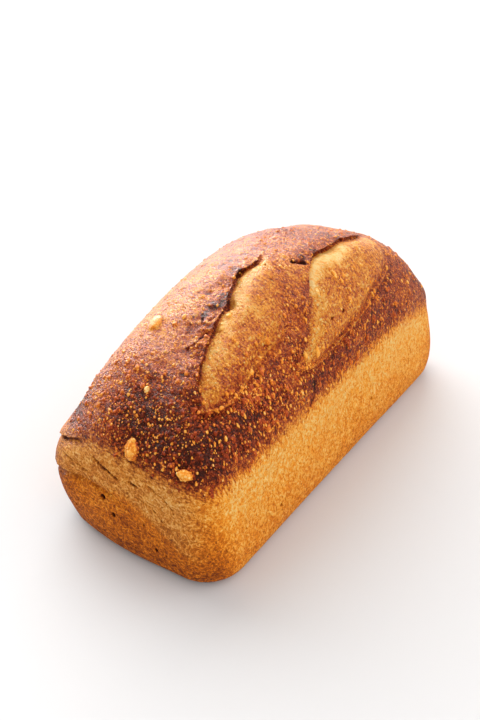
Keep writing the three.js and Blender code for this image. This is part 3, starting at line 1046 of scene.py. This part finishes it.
# Where beads crowd: place, reach, how many times more.
CROWDS = [
    ((5, -104, 80), 26, 5.0), ((30, -98, 78), 26, 4.0), ((46, -58, 88), 22, 4.0),
    ((-30, -96, 84), 22, 3.0), ((50, -20, 82), 18, 2.0), ((44, -60, 88), 5, 26.0),
    ((52, 30, 80), 26, 1.5),
]


def bead_crowding(middle, over_edge, bloom):
    """How many beads lie at some points, compared with the open dome."""
    wanted = smooth(-4, 8, over_edge) * (1 - 0.5 * smooth(0, 3, bloom))
    wanted *= 1 - 0.6 * smooth(10, -10, middle[:, 0]) * smooth(-88, -66, middle[:, 1])
    return wanted * (1 + sum(more * around(middle, place, reach) for place, reach, more in CROWDS))


def bead_faces():
    """One bead's triangles: its rings from the lowest up, closed at the top."""
    pairs = [(a, (a + 1) % BEAD_SIDES) for a in range(BEAD_SIDES)]
    faces = []
    for high in range(BEAD_SIDES, len(BEAD_RINGS) * BEAD_SIDES, BEAD_SIDES):
        low = high - BEAD_SIDES
        faces += [(low + a, low + b, high + b) for a, b in pairs]
        faces += [(low + a, high + b, high + a) for a, b in pairs]
    return np.array(faces + [(high + a, high + b, high + BEAD_SIDES) for a, b in pairs])


def bead_mesh(shape, tris, over_edge, bloom, browning):
    """Small blisters on the dome: their points, faces and browning."""
    random = np.random.default_rng(BEAD_SEED)
    corners, face = shape[tris], face_normals(shape, tris)
    area = np.linalg.norm(face, axis=1)
    chance = area * bead_crowding(corners.mean(1), over_edge[tris].mean(1), bloom[tris].mean(1))
    picked = random.choice(len(tris), BEADS, p=chance / chance.sum())
    share = random.dirichlet((1, 1, 1), BEADS)
    place = (corners[picked] * share[:, :, None]).sum(1)
    out = face[picked] / area[picked][:, None]
    down = unit(np.cross(out, np.cross([0.0, 0.0, 1.0], out)))
    level = np.cross(out, down)

    # Beads are longer on the slashed side's flank, where the dough was stretched.
    radius = BEAD_RADIUS * np.exp(RADIUS_SPREAD * random.standard_normal(BEADS))
    radius = np.clip(radius, SMALLEST_BEAD, LARGEST_BEAD)
    flank = smooth(20, 50, place[:, 0]) * smooth(-0.2, 0.7, out[:, 0])
    longer = 1 + 0.7 * flank + 0.3 * random.random(BEADS)
    crust_brown = browning[tris[picked]].mean(1)
    paler = random.uniform(*PALER, BEADS)
    bright = random.random(BEADS) < BRIGHT_SHARE * smooth(1.2, 0.7, radius)
    paler = np.where(bright, crust_brown - random.uniform(*BRIGHTER, BEADS), paler)

    vertices, values = [], []
    for width, rise in BEAD_RINGS:
        for turn in 2 * np.pi * np.arange(BEAD_SIDES) / BEAD_SIDES:
            reach = radius * width * (1 + BEAD_UNEVENNESS * random.standard_normal(BEADS))
            spot = place + down * (reach * longer * np.cos(turn))[:, None]
            spot = spot + level * (reach * np.sin(turn))[:, None]
            vertices.append(spot + out * (radius * rise)[:, None])
            values.append(crust_brown - paler * smooth(-0.25, 0.3, rise))
    vertices.append(place + out * (BEAD_TOP * radius)[:, None])
    values.append(crust_brown - paler)
    one = bead_faces()
    faces = one[None] + len(vertices) * np.arange(BEADS)[:, None, None]
    vertices = np.stack(vertices, axis=1).reshape(-1, 3)
    values = np.maximum(np.stack(values, axis=1).reshape(-1), PALEST_BEAD)
    return vertices, faces.reshape(-1, 3), values


crust = crust_material()
bead_points, bead_tris, bead_brown = bead_mesh(shape, tris, past_edge, marks["bloom"], dome_brown)
bead_points = np.clip(bead_points, cad_low, cad_high)
fields = dict(dome=bead_brown, wall=bead_brown, past_edge=9.0, smoother=0.8, end=0.0, dusty=0.0)
beads = mesh_object("crust_beads", bead_points, bead_tris.tolist(), fields)
for piece in (loaf, beads):
    piece.data.materials.append(crust)
    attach(piece, "root")
    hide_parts("loaf")


# -------- floor, light and camera

FLOOR_REACH = 6.0


def stage_floor():
    corners = np.array([(-1, -1, 0), (1, -1, 0), (1, 1, 0), (-1, 1, 0)]) * FLOOR_REACH / MM
    floor = mesh_object("floor", corners, [(0, 1, 2, 3)], {})
    n = Nodes("pale_floor")
    n.give(n.shader, {"Base Color": srgb(215, 215, 216), "Roughness": 0.7, "Specular IOR Level": 0.05})
    floor.data.materials.append(n.material)
    floor.location.z = cad_bounds[0][2]


def soft_light(name, toward, spread, strength, colour, only_shine=False):
    """A far light, spread degrees wide, from the direction toward."""
    light = bpy.data.lights.new(name, "SUN")
    light.angle, light.energy, light.color = np.radians(spread), strength, colour
    lamp = put_in_scene(name, light)
    lamp.rotation_euler = Vector(toward).to_track_quat("Z", "Y").to_euler()
    lamp.visible_diffuse = not only_shine


def surroundings(strength, colour):
    world = bpy.data.worlds.new("surroundings")
    world.use_nodes = True
    background = world.node_tree.nodes["Background"]
    background.inputs["Color"].default_value = colour
    background.inputs["Strength"].default_value = strength
    bpy.context.scene.world = world


# The camera looks down on the slashed side and the -Y end.
CAMERA_AZIMUTH, CAMERA_ELEVATION, CAMERA_ROLL = 39.1, 37.1, -4.5
CAMERA_DISTANCE = 0.5699
CAMERA_TARGET = Vector((-0.0119, 0.0007, 0.049))
CAMERA_LENS = 50.0


def camera_at_photo_angle():
    az, el, roll = np.radians([CAMERA_AZIMUTH, CAMERA_ELEVATION, CAMERA_ROLL])
    back = Vector((np.sin(az) * np.cos(el), -np.cos(az) * np.cos(el), np.sin(el)))
    right = Vector((0, 0, 1)).cross(back).normalized()
    up = back.cross(right)
    leaned_right = right * np.cos(roll) + up * np.sin(roll)
    leaned_up = up * np.cos(roll) - right * np.sin(roll)
    camera = put_in_scene("camera", bpy.data.cameras.new("camera"))
    camera.data.lens = CAMERA_LENS
    turn = Matrix((leaned_right, leaned_up, back)).transposed().to_4x4()
    camera.matrix_world = Matrix.Translation(CAMERA_TARGET + back * CAMERA_DISTANCE) @ turn
    bpy.context.scene.camera = camera


stage_floor()
soft_light("window", (-0.68, 0.50, 0.66), 65, 3.0, (1.0, 0.99, 0.98))
soft_light("window_shine", (-0.9, 0.45, 0.2), 50, 18.0, (1.0, 0.95, 0.91), only_shine=True)
soft_light("top_shine", (-0.12, 0.62, 0.77), 45, 10.0, (1.0, 0.94, 0.88), only_shine=True)
soft_light("reflector", (0.95, 0.15, 0.45), 100, 1.75, (1.0, 0.98, 0.95))
surroundings(0.66, (1.0, 0.99, 0.985, 1.0))
camera_at_photo_angle()
bpy.context.scene.view_settings.view_transform = "Standard"
